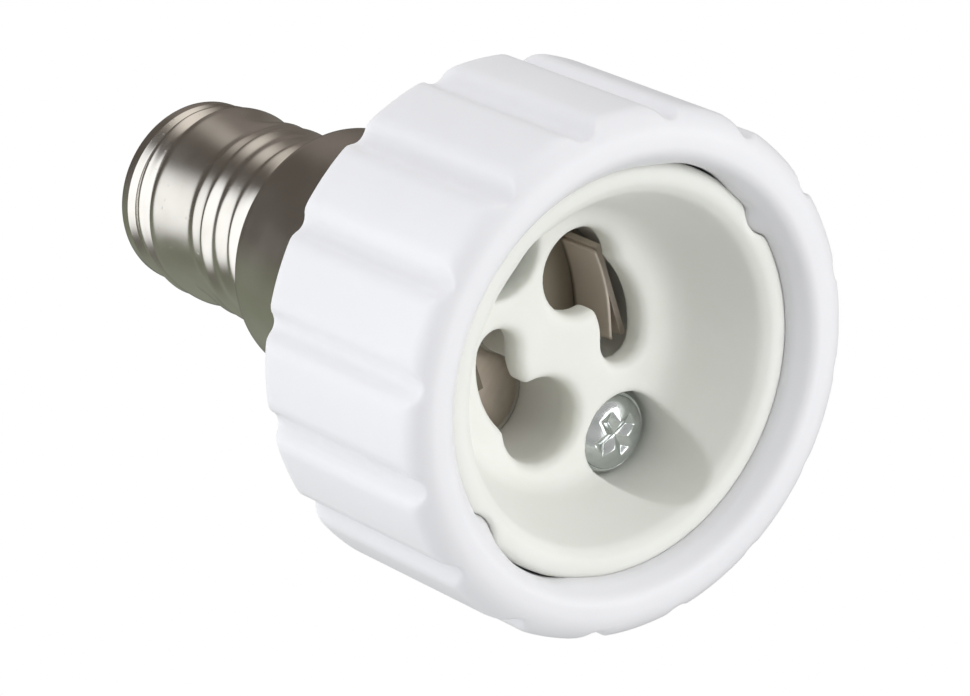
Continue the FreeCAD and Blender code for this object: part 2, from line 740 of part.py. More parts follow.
def ridge_outline(sketch):
    """One knuckle of the thread: a narrow crest, two flanks on each side, and a foot inside the wall."""
    crest = size.thread_crest_diameter / 2
    foot = size.thread_root_diameter / 2 - size.shell_wall / 2
    level = collar_top + size.thread_lead_in
    top = size.thread_crest_width / 2
    flank = size.thread_flank_width / 2
    base = size.thread_foot_width / 2
    polygon(sketch, [
        (foot, level - base),
        (crest - size.thread_flank_drop, level - flank),
        (crest, level - top),
        (crest, level + top),
        (crest - size.thread_flank_drop, level + flank),
        (foot, level + base),
    ])


# End insulator: a flange held behind the turned-in lip, and the cone that carries the centre contact
def make_plug():
    body = new_body("base_insulator")
    flange = thread_inside - size.press_clearance
    neck = size.shell_mouth_diameter / 2 - size.press_clearance
    hole = size.rivet_shank_diameter / 2 + size.press_clearance
    profile = new_sketch(body, "plug_profile")
    polygon(profile, [
        (hole, flange_bottom),
        (flange, flange_bottom),
        (flange, flange_top),
        (neck, flange_top),
        (neck, neck_top),
        (size.plug_cone_diameter / 2, cone_top),
        (hole, cone_top),
    ])
    revolve(body, profile, "plug_turned")


# Centre contact: a rivet through the insulator, clinched inside
def make_rivet():
    body = new_body("centre_contact")
    head = size.rivet_head_diameter / 2
    shank = size.rivet_shank_diameter / 2
    clinch = size.rivet_clinch_diameter / 2
    profile = new_sketch(body, "rivet_profile")
    polygon(profile, [
        (rivet_bore, flange_bottom - size.rivet_clinch_height),
        (clinch, flange_bottom - size.rivet_clinch_height),
        (clinch, flange_bottom),
        (shank, flange_bottom),
        (shank, cone_top),
        (head, cone_top),
        (head, rivet_top),
        (rivet_bore, rivet_top),
    ])
    turned = revolve(body, profile, "rivet_turned")
    ease_rings(body, "rivet_chamfer", turned, "Chamfer", size.rivet_head_chamfer, [(head, rivet_top)])


def make_tip_solder():
    body = new_body("centre_solder")
    profile = new_sketch(body, "tip_profile")
    reach = size.tip_solder_diameter / 2
    polygon(profile, [
        (ZERO, rivet_top),
        (reach, rivet_top),
        (reach, rivet_top + size.tip_solder_height),
        (ZERO, rivet_top + size.tip_solder_height),
    ])
    turned = revolve(body, profile, "tip_turned")
    tip_edge = [(reach, rivet_top + size.tip_solder_height)]
    ease_rings(body, "tip_chamfer", turned, "Chamfer", size.tip_solder_chamfer, tip_edge)


# Leads: straight runs joined by tangent arcs, one round wire and its sleeve for each contact
def corner_radii(points):
    """The bend radius at each inner corner, from the shorter of its two runs."""
    radii = []
    for before, corner, after in zip(points, points[1:], points[2:]):
        arriving = corner - before
        leaving = after - corner
        turn = arriving.getAngle(leaving)
        radii.append(0.45 * min(arriving.Length, leaving.Length) / math.tan(turn / 2))
    return radii


def lead_path(points, radii):
    edges = []
    start = points[0]
    for i in range(1, len(points) - 1):
        radius = radii[i - 1]
        corner = points[i]
        back = (points[i - 1] - corner).normalize()
        ahead = (points[i + 1] - corner).normalize()
        turn = math.pi - back.getAngle(ahead)
        reach = radius * math.tan(turn / 2)
        first = corner + back * reach
        last = corner + ahead * reach
        middle = (back + ahead).normalize()
        centre = corner + middle * (radius / math.cos(turn / 2))
        edges.append(Part.LineSegment(start, first).toShape())
        edges.append(Part.Arc(first, centre - middle * radius, last).toShape())
        start = last
    edges.append(Part.LineSegment(start, points[-1]).toShape())
    return Part.Wire(edges)


def round_bar(path, radius):
    start = path.Edges[0]
    along = start.tangentAt(start.FirstParameter)
    ring = Part.Wire([Part.Circle(start.valueAt(start.FirstParameter), along, radius).toShape()])
    return path.makePipeShell([ring], True, False)


def make_lead(name, points, sleeve_points):
    radii = corner_radii(points)
    print(name, "bend radii", [round(radius, 1) for radius in radii])
    path = lead_path(points, radii)
    sleeve_path = lead_path(sleeve_points, radii)
    core = round_bar(path, core_radius.value)
    jacket = round_bar(sleeve_path, size.sleeve_diameter.value / 2)
    hollow = round_bar(sleeve_path, core_radius.value + size.press_clearance.value / 2)
    print(name, "core volume", round(core.Volume, 3))
    print(name, "section by length", round(path.Length * math.pi * core_radius.value ** 2, 3))
    for label, shape in ((name + "_core", core), (name + "_sleeve", jacket.cut(hollow))):
        item = doc.addObject("Part::Feature", label)
        item.Label = label
        item.Shape = shape
        item.Placement = Placement(Vector(0, 0, 0), Rotation(Vector(0, 0, 1), 0))
        sub_parts.append(item)


def between(start, stop, share):
    return start + (stop - start) * share


def make_leads():
    """Live lead up the axis into the rivet, neutral lead out to the bore of the shell."""
    lap = size.tail_distance - core_radius - size.press_clearance
    turn = math.radians(size.clip_angle.value)
    foot = Vector(lap.value * math.cos(turn), lap.value * math.sin(turn), lap_start.value)
    axis_level = nose_top + size.lead_axis_rise
    live = [
        foot,
        Vector(foot.x * 0.94, foot.y * 0.92, shoulder_top.value),
        Vector(foot.x * 0.30, foot.y * 0.34, spigot_top.value),
        Vector(0, 0, axis_level.value),
        Vector(0, 0, rivet_top.value),
    ]
    live_sleeve = live[:]
    live_sleeve[0] = between(live[0], live[1], 0.45)
    live_sleeve[-1] = between(live[-2], live[-1], 0.4)
    make_lead("live", live, live_sleeve)
    side = thread_inside.value - core_radius.value - size.press_clearance.value
    turn_level = shoulder_top + size.lead_turn_rise
    wall_level = nose_top + size.lead_wall_rise
    end_level = flange_bottom - size.lead_end_gap
    neutral = [
        Vector(-foot.x, -foot.y, foot.z),
        Vector(-foot.x * 1.02, -foot.y * 0.86, shoulder_top.value),
        Vector(-foot.x * 1.06, -foot.y * 0.36, turn_level.value),
        Vector(side * 0.6, side * 0.02, nose_top.value),
        Vector(side * 0.98, side * 0.03, wall_level.value),
        Vector(side, 0, end_level.value),
    ]
    neutral_sleeve = neutral[:-1]
    neutral_sleeve[0] = between(neutral[0], neutral[1], 0.45)
    neutral_sleeve[-1] = between(neutral[-3], neutral[-2], 0.55)
    make_lead("neutral", neutral, neutral_sleeve)


# Solder joints
def rod(label, across, up, low, length, radius):
    """A plain upright cylinder, placed by the sheet."""
    item = doc.addObject("Part::Cylinder", label)
    bind(item, "Radius", radius)
    bind(item, "Height", length)
    bind(item, "Placement.Base.x", across)
    bind(item, "Placement.Base.y", up)
    bind(item, "Placement.Base.z", low)
    return item


def cut_from(label, stock, tools):
    tool = doc.addObject("Part::Compound", label + "_tools")
    tool.Links = tools
    cut = doc.addObject("Part::Cut", label)
    cut.Label = label
    cut.Base = stock
    cut.Tool = tool
    sub_parts.append(cut)
    doc.recompute()


def make_solder():
    made = {part.Label: part for part in sub_parts}
    reach = size.tail_distance - size.dab_offset
    low = lap_start + size.lead_lap / 4
    stock = doc.addObject("Part::Compound", "contact_solder_stock")
    dabs = []
    for name, side in (("live_dab", 1), ("neutral_dab", -1)):
        turn = size.clip_angle.text
        across = Size(0.0, "({} * {} * cos({} * 1deg))".format(side, reach.text, turn))
        up = Size(0.0, "({} * {} * sin({} * 1deg))".format(side, reach.text, turn))
        dabs.append(rod(name, across, up, low, size.dab_length, size.dab_diameter / 2))
    stock.Links = dabs
    pieces = [made["live_contact"], made["neutral_contact"], made["live_core"], made["neutral_core"]]
    cut_from("contact_solder", stock, pieces)
    level = flange_bottom - size.dab_drop
    bore = rod("shell_bore", ZERO, ZERO, level, size.dab_length, thread_inside)
    blob = rod("shell_dab", thread_inside - core_radius, ZERO, level, size.dab_length, size.dab_diameter / 2)
    joint = doc.addObject("Part::Common", "shell_solder_stock")
    joint.Base = blob
    joint.Tool = bore
    doc.recompute()
    cut_from("shell_solder", joint, [made["neutral_core"]])


make_housing()
make_insert()
make_disc()
make_contact("live_contact", size.clip_angle)
make_contact("neutral_contact", size.clip_angle + 180)
make_shell()
make_plug()
make_rivet()
make_tip_solder()
make_leads()

screws = doc.addObject("Part::Compound", "insert_screws")
screws.Label = "insert_screws"
screws.Links = [make_screw("first_screw", size.screw_angle), make_screw("second_screw", size.screw_angle + 180)]
sub_parts.append(screws)
doc.recompute()
make_solder()

# Every piece is checked and written
doc.recompute()
for item in doc.Objects:
    if "Invalid" in item.State or "Error" in item.State:
        raise RuntimeError("{} is in the state {}".format(item.Label, item.State))
os.makedirs("parts", exist_ok=True)
for part in sub_parts:
    shape = part.Shape
    if shape.isNull() or not shape.isValid():
        raise RuntimeError("{} has no sound shape".format(part.Label))
    shape.exportStep("parts/{}.step".format(part.Label))
    print(part.Label, "solids", len(shape.Solids), "volume", round(shape.Volume, 2))
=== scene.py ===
# %% [markdown]
# # A lamp socket adapter, dressed for its portrait
# The object is a small plug that changes a screw lampholder into a two-pin twist socket. It has a white
# fluted ring, a cream ceramic cup inside it, and a nickel-plated screw shell behind. The solids come
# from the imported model, which is a fixed frame: nothing in it is moved. Here it gets its fine surfaces
# and its finishes, a stage and a camera that stands where the photographer stood.

# %% Load the frame
import math
import bpy
import numpy as np
from mathutils import Matrix, Vector


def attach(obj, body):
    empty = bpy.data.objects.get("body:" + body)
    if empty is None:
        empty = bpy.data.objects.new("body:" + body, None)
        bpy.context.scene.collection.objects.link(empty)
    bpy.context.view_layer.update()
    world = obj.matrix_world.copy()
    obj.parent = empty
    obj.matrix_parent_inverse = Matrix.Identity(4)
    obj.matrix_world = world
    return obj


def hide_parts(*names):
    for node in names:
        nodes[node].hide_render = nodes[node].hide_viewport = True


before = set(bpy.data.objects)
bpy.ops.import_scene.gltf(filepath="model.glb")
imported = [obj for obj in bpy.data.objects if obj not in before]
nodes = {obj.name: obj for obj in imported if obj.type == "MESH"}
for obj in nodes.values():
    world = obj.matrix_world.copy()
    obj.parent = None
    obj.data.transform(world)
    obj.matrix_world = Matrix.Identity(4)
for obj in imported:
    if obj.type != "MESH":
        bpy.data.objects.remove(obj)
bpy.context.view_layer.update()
print("nodes", sorted(nodes))

# %% [markdown]
# ## Finishes
# Each finish is a small tree of shader nodes. A helper makes the Principled shader and fills in its
# plain sockets. Others add what every real surface has: a colour that drifts a little from place to
# place, and a fine relief. Both read Object coordinates, so they stay on the piece when it is turned.
# The last one lets light enter a pale body and come out beside, which softens its creases.

# %% Helpers for finishes


def new_finish(name, color, roughness, metallic=0.0, **sockets):
    """A material with a Principled shader; the named sockets are set on the shader itself."""
    material = bpy.data.materials.new(name)
    material.use_nodes = True
    tree = material.node_tree
    shader = tree.nodes["Principled BSDF"]
    shader.inputs["Base Color"].default_value = (*color, 1.0)
    shader.inputs["Roughness"].default_value = roughness
    shader.inputs["Metallic"].default_value = metallic
    for socket, value in sockets.items():
        shader.inputs[socket.replace("_", " ")].default_value = value
    return material, tree, shader


def noise(tree, scale, detail=3.0, roughness=0.5, stretch=(1.0, 1.0, 1.0)):
    """A noise pattern on Object coordinates. Scale is in waves per metre, stretch changes it per axis."""
    place = tree.nodes.new("ShaderNodeTexCoord")
    mapping = tree.nodes.new("ShaderNodeMapping")
    mapping.inputs["Scale"].default_value = stretch
    pattern = tree.nodes.new("ShaderNodeTexNoise")
    pattern.inputs["Scale"].default_value = scale
    pattern.inputs["Detail"].default_value = detail
    pattern.inputs["Roughness"].default_value = roughness
    tree.links.new(place.outputs["Object"], mapping.inputs["Vector"])
    tree.links.new(mapping.outputs["Vector"], pattern.inputs["Vector"])
    return pattern.outputs["Fac"]


def ramp(tree, value, stops):
    """Turns a number into a colour by a row of (position, colour) stops."""
    band = tree.nodes.new("ShaderNodeValToRGB")
    elements = band.color_ramp.elements
    elements[0].position, elements[0].color = stops[0][0], (*stops[0][1], 1.0)
    elements[1].position, elements[1].color = stops[-1][0], (*stops[-1][1], 1.0)
    for position, color in stops[1:-1]:
        elements.new(position).color = (*color, 1.0)
    tree.links.new(value, band.inputs["Fac"])
    return band.outputs["Color"]


def relief(tree, shader, value, height, strength=1.0, below=None):
    """Fine relief of a height in metres; below is an earlier relief that this one sits on."""
    bump = tree.nodes.new("ShaderNodeBump")
    bump.inputs["Distance"].default_value = height
    bump.inputs["Strength"].default_value = strength
    tree.links.new(value, bump.inputs["Height"])
    if below is not None:
        tree.links.new(below, bump.inputs["Normal"])
    tree.links.new(bump.outputs["Normal"], shader.inputs["Normal"])
    return bump.outputs["Normal"]


def drift(tree, shader, stops, scale, socket="Base Color", **more):
    """A slow change of colour or roughness over the surface."""
    tree.links.new(ramp(tree, noise(tree, scale, **more), stops), shader.inputs[socket])


def scatter(shader, weight, radius, scale):
    """Light that enters the body, spreads by radius * scale metres per colour and comes out again."""
    shader.inputs["Subsurface Weight"].default_value = weight
    shader.inputs["Subsurface Radius"].default_value = radius
    shader.inputs["Subsurface Scale"].default_value = scale


def grey(value):
    return (value, value, value)


print("finish helpers ready")

# %% [markdown]
# ## White moulded plastic
# The fluted ring is a white thermoplastic with a faint lilac cast and a satin face. A moulded face is
# never quite even: it has very slow waves from shrinkage and a grain too fine to see as dots.

# %% White plastic
housing_white, tree, shader = new_finish("housing_white", (0.80, 0.80, 0.82), 0.42, IOR=1.46)
drift(tree, shader, [(0.3, (0.79, 0.79, 0.81)), (0.7, (0.81, 0.81, 0.83))], 90.0)
scatter(shader, 0.3, (1.0, 1.0, 1.0), 0.001)
grain = relief(tree, shader, noise(tree, 6000.0, 2.0), 0.000004, 0.5)
relief(tree, shader, noise(tree, 160.0, 1.0), 0.00005, 0.35, below=grain)
print("housing_white", len(tree.nodes), "nodes")

# %% [markdown]
# ## Ceramic
# The cup is unglazed steatite: cream white and dull, with a fine grain and very slow unevenness.

# %% Cream ceramic
ceramic_cream, tree, shader = new_finish("ceramic_cream", (0.785, 0.79, 0.745), 0.55, IOR=1.5)
cream_shades = [(0.25, (0.765, 0.77, 0.72)), (0.6, (0.795, 0.80, 0.755)), (0.9, (0.81, 0.815, 0.775))]
drift(tree, shader, cream_shades, 140.0)
scatter(shader, 0.4, (1.0, 0.98, 0.93), 0.0014)
grain = relief(tree, shader, noise(tree, 3500.0, 4.0, 0.6), 0.000012, 0.6)
relief(tree, shader, noise(tree, 300.0, 2.0), 0.00006, 0.4, below=grain)
print("ceramic_cream", len(tree.nodes), "nodes")

# %% [markdown]
# ## Metals
# The shell is plated with warm nickel and the screws with blue-white zinc. Their colour drifts a
# little, which breaks up the reflections the way handling does on real plating. The nickel's roughness
# drifts too, and it has a few tiny pits.

# %% Plated metals
shell_nickel, tree, shader = new_finish("shell_nickel", (0.66, 0.625, 0.575), 0.22, 1.0)
nickel_shades = [(0.3, (0.60, 0.565, 0.515)), (0.55, (0.67, 0.635, 0.59)), (0.8, (0.72, 0.69, 0.645))]
drift(tree, shader, nickel_shades, 180.0)
drift(tree, shader, [(0.3, grey(0.18)), (0.7, grey(0.27))], 350.0, "Roughness")
uneven = relief(tree, shader, noise(tree, 500.0, 2.0, stretch=(1.0, 1.0, 0.4)), 0.000012, 0.3)
pits = ramp(tree, noise(tree, 2200.0, 1.0), [(0.74, grey(0.0)), (0.78, grey(1.0))])
relief(tree, shader, pits, 0.00001, 0.5, below=uneven)
print("shell_nickel", len(tree.nodes), "nodes")

screw_zinc, tree, shader = new_finish("screw_zinc", (0.70, 0.73, 0.73), 0.19, 1.0)
drift(tree, shader, [(0.3, (0.60, 0.64, 0.63)), (0.7, (0.80, 0.83, 0.83))], 900.0)
relief(tree, shader, noise(tree, 1100.0, 3.0), 0.00006, 0.6)
print("screw_zinc", len(tree.nodes), "nodes")

# %% [markdown]
# ## Contacts, solder and wire
# The contacts are dull brown strip, with light and shade painted into its colour: it is painted paler
# where light reaches it and painted darker, as shade, where the chamber is deep. The colour changes
# within a band of heights, which a Map Range node picks out of the Object coordinates. Solder and copper
# are seen only in a cut or exploded view, and stay simple.

# %% Contacts, solder and wire
# Painted light and shade: above this band of heights the strip is painted paler, as if lit, and below it
# darker, as painted shade deep in the chamber.
painted_shade_from, painted_shade_to = 0.0135, 0.0139
contact_strip, tree, shader = new_finish("contact_strip", (0.60, 0.53, 0.45), 0.5, 0.4)
place = tree.nodes.new("ShaderNodeTexCoord")
parts = tree.nodes.new("ShaderNodeSeparateXYZ")
tree.links.new(place.outputs["Object"], parts.inputs[0])
depth = tree.nodes.new("ShaderNodeMapRange")
depth.inputs["From Min"].default_value = painted_shade_from
depth.inputs["From Max"].default_value = painted_shade_to
tree.links.new(parts.outputs["Z"], depth.inputs["Value"])
# The ramp runs from the painted lit colour to the painted shade colour.
painted_light_and_shade = ramp(tree, depth.outputs[0], [(0.0, (0.74, 0.66, 0.57)), (1.0, (0.27, 0.235, 0.18))])
tree.links.new(painted_light_and_shade, shader.inputs["Base Color"])
relief(tree, shader, noise(tree, 900.0, 3.0), 0.00001, 0.4)

contact_plate, tree, shader = new_finish("contact_plate", (0.64, 0.55, 0.46), 0.45, 0.3)
drift(tree, shader, [(0.3, (0.62, 0.54, 0.45)), (0.7, (0.78, 0.69, 0.60))], 700.0, stretch=(1.0, 0.3, 1.0))
relief(tree, shader, noise(tree, 1500.0, 2.0), 0.000015, 0.5)

solder_tin, tree, shader = new_finish("solder_tin", (0.60, 0.61, 0.62), 0.35, 1.0)
drift(tree, shader, [(0.3, (0.5, 0.51, 0.52)), (0.7, (0.68, 0.69, 0.70))], 1200.0)
relief(tree, shader, noise(tree, 2200.0, 2.0), 0.00003, 0.6)

core_copper, tree, shader = new_finish("core_copper", (0.72, 0.42, 0.26), 0.3, 1.0)
drift(tree, shader, [(0.3, (0.62, 0.34, 0.2)), (0.7, (0.78, 0.5, 0.33))], 1500.0)
print("contacts, solder and wire made")

# %% [markdown]
# ## Plain plastics inside
# The end insulator, the board behind the cup and the sleeves of the leads are quiet plastics.

# %% Plain plastics


def plain_plastic(name, dark, light, roughness):
    """Two close shades of one plastic that drift into each other, with a fine grain."""
    material, tree, shader = new_finish(name, dark, roughness)
    drift(tree, shader, [(0.3, dark), (0.7, light)], 400.0)
    relief(tree, shader, noise(tree, 3000.0, 2.0), 0.000008, 0.5)
    return material


plug_white = plain_plastic("plug_white", (0.74, 0.74, 0.72), (0.8, 0.8, 0.78), 0.4)
board_beige = plain_plastic("board_beige", (0.52, 0.50, 0.43), (0.58, 0.56, 0.49), 0.7)
sleeve_brown = plain_plastic("sleeve_brown", (0.13, 0.06, 0.03), (0.17, 0.08, 0.04), 0.45)
sleeve_blue = plain_plastic("sleeve_blue", (0.02, 0.07, 0.3), (0.03, 0.09, 0.36), 0.45)
print("plain plastics made")

# %% [markdown]
# ## Which finish goes where
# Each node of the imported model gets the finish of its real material. Some nodes are replaced by finer
# surfaces further on, and those take the same finish.

# %% Dress the nodes
finishes = {
    "outer_housing": housing_white,
    "ceramic_insert": ceramic_cream,
    "rear_disc": board_beige,
    "live_contact": contact_strip,
    "neutral_contact": contact_strip,
    "screw_shell": shell_nickel,
    "base_insulator": plug_white,
    "centre_contact": shell_nickel,
    "centre_solder": solder_tin,
    "contact_solder": solder_tin,
    "shell_solder": solder_tin,
    "live_core": core_copper,
    "neutral_core": core_copper,
    "live_sleeve": sleeve_brown,
    "neutral_sleeve": sleeve_blue,
    "insert_screws": screw_zinc,
}
for name, material in finishes.items():
    node = nodes[name]
    node.data.materials.clear()
    node.data.materials.append(material)
print("finished", len(finishes), "nodes")

# %% [markdown]
# ## Surfaces from profiles
# Nearly every piece here is turned or moulded round one axis. Such a surface is a profile, which is a
# closed line of (radius, height) points, carried round the axis. The corners of a real moulding are
# round, so the helper below takes sharp corners with a radius for each, and lays an arc in each one.

# %% Helpers for turned surfaces


def rounded_profile(corners, step, arc_points=7):
    """A closed line of (radius, height) points in mm from (radius, height, rounding) corners.

    At each corner the two neighbouring runs are cut back by rounding * tan(half the turn) and an arc
    that touches both is laid between the cuts. Straight runs are divided into pieces of about step."""
    corners = np.asarray(corners, float)
    points = corners[:, :2]
    back = np.roll(points, 1, axis=0) - points
    ahead = np.roll(points, -1, axis=0) - points
    back /= np.linalg.norm(back, axis=1)[:, None]
    ahead /= np.linalg.norm(ahead, axis=1)[:, None]
    half = 0.5 * np.arccos(np.clip(-(back * ahead).sum(axis=1), -1, 1))
    cut = corners[:, 2] * np.tan(half)
    first = points + back * cut[:, None]
    last = points + ahead * cut[:, None]
    middle = back + ahead
    middle /= np.maximum(np.linalg.norm(middle, axis=1), 1e-9)[:, None]
    centre = points + middle * (corners[:, 2] / np.cos(half))[:, None]
    line = []
    for i in range(len(points)):
        if corners[i, 2] > 0:
            start = np.arctan2(*(first[i] - centre[i])[::-1])
            stop = np.arctan2(*(last[i] - centre[i])[::-1])
            sweep = (stop - start + math.pi) % (2 * math.pi) - math.pi
            turn = start + sweep * np.linspace(0, 1, arc_points)
            line.append(centre[i] + corners[i, 2] * np.column_stack([np.cos(turn), np.sin(turn)]))
        else:
            line.append(points[i:i + 1])
        following = first[(i + 1) % len(points)]
        run = following - last[i]
        count = max(int(np.linalg.norm(run) / step), 1)
        line.append(last[i] + run * (np.arange(1, count) / count)[:, None])
    return np.vstack(line)


def grid_piece(name, points, material, replaced, poles=False):
    """A closed surface through a grid of points in mm; row i and column j are points[i, j].

    Columns close round on themselves. Rows do too, or with poles the first and the last row each
    shrink to one point, and fans of triangles join those points to their neighbours."""
    rows, columns = points.shape[:2]
    flat = points.reshape(-1, 3) / 1000.0
    last = rows - 1 if poles else rows
    i, j = np.meshgrid(np.arange(last), np.arange(columns), indexing="ij")
    i2, j2 = (i + 1) % rows, (j + 1) % columns
    quads = np.stack([i * columns + j, i * columns + j2, i2 * columns + j2, i2 * columns + j], axis=-1)
    quads = quads.reshape(-1, 4)
    a, b, c, d = (flat[quads[:, k]] for k in range(4))
    volume = (np.einsum("ij,ij->i", a, np.cross(b, c)) + np.einsum("ij,ij->i", a, np.cross(c, d))).sum() / 6
    if volume < 0:
        quads = quads[:, ::-1]
    faces = quads.tolist()
    if poles:
        around = np.arange(columns)
        after = (around + 1) % columns
        ends = np.vstack([points[0].mean(axis=0), points[-1].mean(axis=0)]) / 1000.0
        flat = np.vstack([flat, ends])
        first_fan = np.column_stack([after, around, np.full(columns, len(flat) - 2)])
        shift = (rows - 1) * columns
        last_fan = np.column_stack([around + shift, after + shift, np.full(columns, len(flat) - 1)])
        if volume < 0:
            first_fan, last_fan = first_fan[:, ::-1], last_fan[:, ::-1]
        faces += first_fan.tolist() + last_fan.tolist()
    mesh = bpy.data.meshes.new(name)
    mesh.from_pydata(flat.tolist(), [], faces)
    mesh.polygons.foreach_set("use_smooth", np.ones(len(faces), bool))
    mesh.update()
    mesh.materials.append(material)
    piece = bpy.data.objects.new(name, mesh)
    bpy.context.collection.objects.link(piece)
    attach(piece, "root")
    if replaced:
        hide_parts(replaced)
    print(name, len(faces), "faces, volume mm3", round(abs(volume) * 1e9, 1))
    return piece


def turned(radius, height, angles):
    """Points of a surface about the axis: radius and height by row and column, one angle per column."""
    return np.stack([radius * np.cos(angles), radius * np.sin(angles), height], axis=-1)


def ease(value, start, stop):
    """0 before start, 1 after stop, and a smooth step between them."""
    t = np.clip((value - start) / (stop - start), 0, 1)
    return t * t * (3 - 2 * t)


print("surface helpers ready")

# %% [markdown]
# ## The fluted ring
# The housing's outline is one closed profile: up the outside of the ring, over the shoulder, along the
# spigot and the nose, and back down the inside. Sixteen hollows run along the ring. Across, each one is
# an arc with a round shoulder on either side that touches the ring's own circle. The surface is pushed
# in wherever that outline lies inside the turned one, and the two are blended by a soft minimum, so
# the hollows fade out in the round of the front edge as the moulded ones do. The ring is drawn a few
# thousandths smaller than 35 mm across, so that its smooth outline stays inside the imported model's box.

# %% Fluted ring
ring_radius = 17.493
flute_count = 16


def flute_radius(angles, depth=0.78, hollow=0.95, shoulder=1.3, turn=2.3):
    """Radius of the ring's outline at each angle: the ring, cut by the arcs of the hollows.

    Along a ray, an arc about (place, 0) is met at place*cos(a) -/+ sqrt(arc**2 - (place*sin(a))**2)."""
    place = ring_radius - depth + hollow
    near = ring_radius - shoulder
    lean = math.acos((place ** 2 + near ** 2 - (hollow + shoulder) ** 2) / (2 * place * near))
    join = np.array([near * math.cos(lean), near * math.sin(lean)])
    join = join + (np.array([place, 0.0]) - join) * shoulder / (hollow + shoulder)
    meeting = math.atan2(join[1], join[0])
    apart = 2 * math.pi / flute_count
    a = np.abs((angles - math.radians(turn) + apart / 2) % apart - apart / 2)
    inner = place * np.cos(a) - np.sqrt(np.maximum(hollow ** 2 - (place * np.sin(a)) ** 2, 0))
    b = a - lean
    outer = near * np.cos(b) + np.sqrt(np.maximum(shoulder ** 2 - (near * np.sin(b)) ** 2, 0))
    return np.where(a < meeting, inner, np.where(a < lean, outer, ring_radius))


def soft_minimum(a, b, width):
    """The smaller of a and b, with a round of that width where they cross."""
    near = np.clip(0.5 + 0.5 * (b - a) / width, 0, 1)
    return b * (1 - near) + a * near - width * near * (1 - near)


housing_corners = [
    # radius, height, rounding
    (14.0, 0.0, 1.1),
    (ring_radius, 0.0, 1.8),
    (ring_radius, 16.3, 0.6),
    (16.0, 16.3, 0.2),
    (9.6, 22.4, 0.1),
    (8.3, 22.4, 0.1),
    (8.3, 32.45, 0.9),
    (5.8, 32.45, 0.1),
    (5.8, 38.45, 0.1),
    (4.5, 38.45, 0.1),
    (4.5, 30.85, 0.1),
    (6.8, 30.85, 0.1),
    (6.8, 22.4, 0.1),
    (12.3, 16.4, 0.1),
    (12.3, 15.6, 0.05),
    (13.95, 15.6, 0.05),
]
line = rounded_profile(housing_corners, 0.5, 11)
plain = (line[:, 1] > 16.7) | (line[:, 0] < 13.0)
line = line[~plain | (np.arange(len(line)) % 4 == 0)]
columns = 28 * flute_count
angles = np.arange(columns) * 2 * math.pi / columns
height = np.repeat(line[:, 1:], len(angles), axis=1)
radius = np.repeat(line[:, :1], len(angles), axis=1)
outline = np.broadcast_to(flute_radius(angles), radius.shape)
outside = (height < 16.35) & (radius > 14.8)
cut = soft_minimum(radius, outline, 0.12)
radius = np.where(outside & (outline < ring_radius - 0.01), np.minimum(cut, radius), radius)
print("profile of", len(line), "points, narrowest flute radius", round(float(outline.min()), 2))

# %% [markdown]
# ## The gap between ring and cup
# The cup sits a little askew, so its rim touches the bore at the sides and leaves two thin crescents.
# The bore is therefore pulled in until it is 0.01 mm from the cup, and by 0.3 mm more where the cup's
# rim is round. At the crescents only a quarter of that is left.

# %% Gap between ring and cup
crescent = np.zeros_like(angles)
for middle, spread in ((85.0, 12.0), (273.0, 13.0)):
    away = (np.degrees(angles) - middle + 180) % 360 - 180
    crescent = np.maximum(crescent, np.exp(-(away / spread) ** 4))
bore = (radius < 14.5) & (radius > 13.8) & (height > 0.2) & (height < 15.55)
at_rim = ease(height, 0.5, 1.75) * (1 - ease(height, 1.95, 2.5))
pull = 0.215 * ease(height, 0.3, 1.4) + 0.3 * at_rim
radius = np.where(bore, radius - pull * (1 - 0.75 * crescent), radius)
print("bore pulled in by up to", round(float(pull.max()), 2), "mm")

# %% [markdown]
# ## The ribs in the bore
# Two ribs stand on the bore and fill the notches in the cup's rim, so that the cup can't turn. Each rib
# is round: at an angle it reaches in to the near side of a circle whose centre lies just outside.

# %% Ribs in the bore
rib_angle, rib_place, rib_round = math.radians(114.0), 15.0, 2.06
off = np.abs((angles - rib_angle + math.pi / 2) % math.pi - math.pi / 2)
reach = rib_place * np.cos(off) - np.sqrt(np.maximum(rib_round ** 2 - (rib_place * np.sin(off)) ** 2, 0))
reach = np.where(rib_place * np.sin(off) < rib_round, reach, 99.0)
in_bore = (radius < 14.6) & (radius > 13.2) & (height > 0.8) & (height < 15.5)
start = ease(height, 1.2, 2.2)
rib = soft_minimum(radius, np.broadcast_to(reach, radius.shape), 0.2)
radius = np.where(in_bore, radius + (np.minimum(rib, radius) - radius) * start, radius)
ring_points = turned(radius, height, angles)
grid_piece("fluted_housing", ring_points, housing_white, "outer_housing")

# %% [markdown]
# ## The screw shell
# A small Edison thread is rolled from sheet: round crests with narrow roots between them. Its section
# is a row of arches, root + (crest - root) * |cos(pi * level / pitch)|, and the crests climb by one
# pitch for each turn, which makes the surface a helix. On the side towards the camera the rolling is
# uneven: the flanks that face the socket are long, and one root is missing, which leaves a broad slope.
# Both sections are tables that are smoothed a little, as no bend in sheet is sharp. They are blended
# round the axis, and the thread grows out of the plain tube at both ends.

